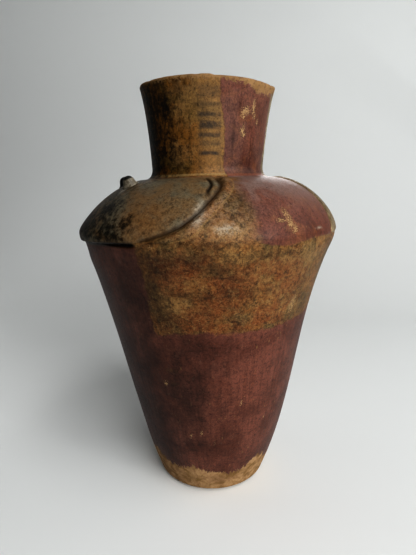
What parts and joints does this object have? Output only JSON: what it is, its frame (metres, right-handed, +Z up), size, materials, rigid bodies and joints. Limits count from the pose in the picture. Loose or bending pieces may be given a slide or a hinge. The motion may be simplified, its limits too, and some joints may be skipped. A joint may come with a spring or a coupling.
{
  "type": "pottery jar",
  "caption": "Tall hand-built clay jar on a small flat foot, tapering up to a wide shoulder with an animal's head modelled on it, and an open flaring neck.",
  "frame": {"origin": "centre of the flat underside", "axes": "+Z up towards the open neck, -Y the side seen in front, with the modelled head facing between -X and -Y"},
  "size_m": [0.1765, 0.175, 0.2781],
  "materials": {
    "fired_clay": "burnished red slip over tan clay, with dark resist paint, worn and chipped to bare clay at foot and lip"
  },
  "bodies": {
    "root": {"jar": "fired_clay"}
  },
  "joints": []
}
